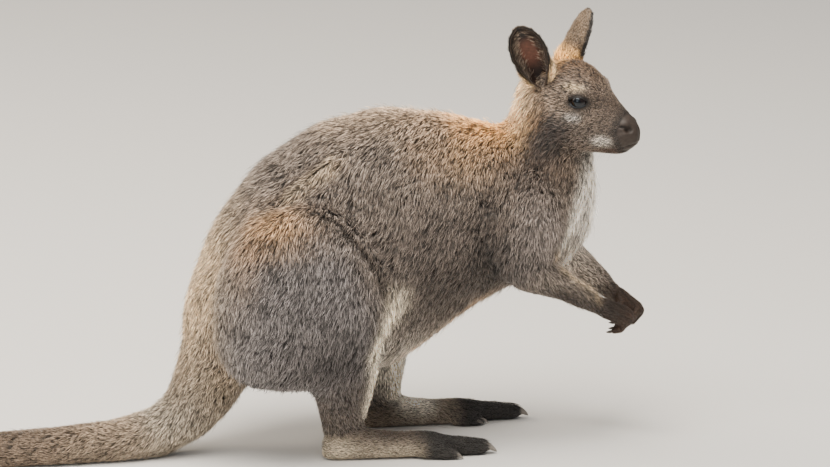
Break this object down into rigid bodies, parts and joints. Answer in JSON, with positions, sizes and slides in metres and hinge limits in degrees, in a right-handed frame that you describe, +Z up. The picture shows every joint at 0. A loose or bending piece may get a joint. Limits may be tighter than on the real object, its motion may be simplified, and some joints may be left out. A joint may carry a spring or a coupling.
{
  "type": "wallaby",
  "caption": "Life-size still model of a red-necked wallaby, crouched on its hind feet and tail with its head turned aside and its forepaws held in front of the chest.",
  "frame": {"origin": "on the floor, below the middle of the model's outline", "axes": "+X the way the trunk faces, +Y the animal's left, +Z up"},
  "size_m": [1.1136, 0.24, 0.5242],
  "materials": {
    "grey_brown_fur": "matte, grizzled",
    "warm_fur": "matte, grizzled",
    "pale_fur": "matte",
    "dark_skin": "satin",
    "eye": "gloss",
    "claw_horn": "satin"
  },
  "bodies": {
    "root": {"trunk": "grey_brown_fur", "neck": "warm_fur", "ear_right": "warm_fur", "eye_right": "eye", "ear_left": "warm_fur", "eye_left": "eye", "head": "grey_brown_fur", "claw_right_foot_fourth": "claw_horn", "claw_right_foot_fifth": "claw_horn", "claw_right_foot_third": "claw_horn", "claw_right_foot_second": "claw_horn", "foot_right": "pale_fur", "thigh_right": "grey_brown_fur", "shank_right": "grey_brown_fur", "claw_left_foot_fourth": "claw_horn", "claw_left_foot_fifth": "claw_horn", "claw_left_foot_third": "claw_horn", "claw_left_foot_second": "claw_horn", "foot_left": "pale_fur", "thigh_left": "grey_brown_fur", "shank_left": "grey_brown_fur", "upper_arm_right": "grey_brown_fur", "forearm_right": "grey_brown_fur", "claw_right_paw_first": "claw_horn", "claw_right_paw_second": "claw_horn", "claw_right_paw_third": "claw_horn", "claw_right_paw_fourth": "claw_horn", "claw_right_paw_fifth": "claw_horn", "paw_right": "dark_skin", "upper_arm_left": "grey_brown_fur", "forearm_left": "grey_brown_fur", "claw_left_paw_first": "claw_horn", "claw_left_paw_second": "claw_horn", "claw_left_paw_third": "claw_horn", "claw_left_paw_fourth": "claw_horn", "claw_left_paw_fifth": "claw_horn", "paw_left": "dark_skin", "tail_root": "grey_brown_fur", "tail_middle": "grey_brown_fur", "tail_tip": "grey_brown_fur"}
  },
  "joints": []
}
